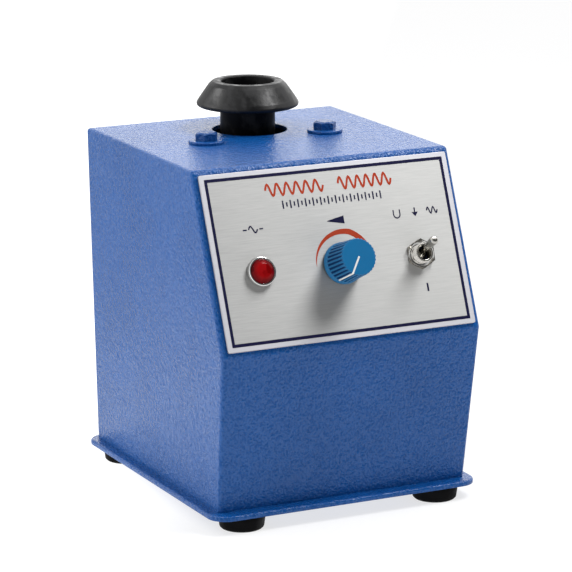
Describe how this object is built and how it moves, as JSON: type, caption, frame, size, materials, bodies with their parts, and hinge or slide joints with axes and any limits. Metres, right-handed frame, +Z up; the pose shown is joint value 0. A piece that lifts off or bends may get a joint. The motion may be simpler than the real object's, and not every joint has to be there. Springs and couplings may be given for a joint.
{
  "type": "vortex mixer",
  "caption": "Bench vortex mixer: sloping-front metal case on rubber feet, rubber cup orbiting on a spring-hung motor, speed knob, toggle switch and lamp.",
  "frame": {"origin": "middle of the whole object's footprint, at the soles of the feet", "axes": "+Z up, front panel faces -Y, +X to the right as seen from the front"},
  "size_m": [0.1428, 0.1754, 0.1943],
  "materials": {
    "hammer_paint": "glossy hammer texture",
    "panel_metal": "brushed",
    "chrome_trim": "polished",
    "zinc_steel": "zinc plated",
    "black_rubber": "satin",
    "red_lens": "gloss",
    "blue_plastic": "satin",
    "black_plastic": "satin",
    "white_plastic": "satin",
    "board": "lacquered",
    "core_iron": "bare",
    "alloy": "machined",
    "weight_brass": "machined"
  },
  "bodies": {
    "root": {"body_casing": "hammer_paint", "base_plate": "hammer_paint", "foot_front_left": "black_rubber", "foot_front_right": "black_rubber", "foot_back_left": "black_rubber", "foot_back_right": "black_rubber", "foot_screw_front_left": "zinc_steel", "foot_screw_front_right": "zinc_steel", "foot_screw_back_left": "zinc_steel", "foot_screw_back_right": "zinc_steel", "base_screw_front_left": "zinc_steel", "base_screw_front_right": "zinc_steel", "base_screw_back_left": "zinc_steel", "base_screw_back_right": "zinc_steel", "front_panel": "panel_metal", "lamp_bezel": "chrome_trim", "lamp_lens": "red_lens", "lamp_body": "black_plastic", "lamp_nut": "zinc_steel", "pot_body": "zinc_steel", "pot_nut": "zinc_steel", "control_board": "board", "triac_heatsink": "alloy", "toggle_body": "zinc_steel", "toggle_nut": "chrome_trim", "suspension_bolt_left": "hammer_paint", "suspension_bolt_right": "hammer_paint", "bolt_washer_left": "hammer_paint", "bolt_washer_right": "hammer_paint", "spacer_sleeve_left": "zinc_steel", "spacer_sleeve_right": "zinc_steel", "suspension_nut_left": "zinc_steel", "suspension_nut_right": "zinc_steel", "guide_post": "zinc_steel", "switch_bracket": "zinc_steel", "touch_switch": "black_plastic", "terminal_block": "white_plastic", "cable_gland": "black_plastic", "gland_nut": "black_plastic", "fuse_holder": "black_plastic", "fuse_cap": "black_plastic"},
    "motor_carriage": {"motor_bracket": "zinc_steel", "motor_can": "zinc_steel", "motor_end_cap": "core_iron", "stator_core": "core_iron", "bracket_bush_left": "black_rubber", "bracket_bush_right": "black_rubber", "bracket_bush_rear": "white_plastic", "lift_spring_left": "zinc_steel", "lift_spring_right": "zinc_steel"},
    "drive_head": {"rotor": "core_iron", "eccentric_head": "zinc_steel", "counterweight": "weight_brass"},
    "cup_head": {"cup_hub": "alloy", "cup_bearing": "zinc_steel", "rubber_cup": "black_rubber"},
    "plunger": {"switch_plunger": "red_lens"},
    "speed_control": {"speed_knob": "blue_plastic", "pot_shaft": "alloy"},
    "toggle": {"toggle_lever": "chrome_trim"}
  },
  "joints": [
    {"name": "touch_press", "type": "slide", "parent": "root", "child": "motor_carriage", "axis": [0, 0, -1], "range_m": [0, 0.003], "stiffness_N_per_m": 3000, "springref_m": -0.009, "deforming": ["lift_spring_left", "lift_spring_right"]},
    {"name": "motor_spin", "type": "hinge", "parent": "motor_carriage", "child": "drive_head", "pos_m": [0.0022, 0.036, 0.102], "axis": [0, 0, 1], "continuous": true},
    {"name": "cup_orbit", "type": "hinge", "parent": "drive_head", "child": "cup_head", "pos_m": [0.0022, 0.03825, 0.15], "axis": [0, 0, 1], "continuous": true},
    {"name": "plunger_travel", "type": "slide", "parent": "root", "child": "plunger", "axis": [0, 0, -1], "range_m": [0, 0.0021]},
    {"name": "speed_turn", "type": "hinge", "parent": "root", "child": "speed_control", "pos_m": [0.0004, -0.06612, 0.12238], "axis": [0, 0.9246, -0.381], "range_deg": [0, 300]},
    {"name": "toggle_throw", "type": "hinge", "parent": "root", "child": "toggle", "pos_m": [0.0424, -0.0679, 0.12333], "axis": [1, 0, 0], "range_deg": [0, 28]}
  ],
  "couplings": [
    {"joint": "cup_orbit", "follows": "motor_spin", "ratio": -1},
    {"joint": "plunger_travel", "follows": "touch_press", "ratio": 0.7}
  ]
}
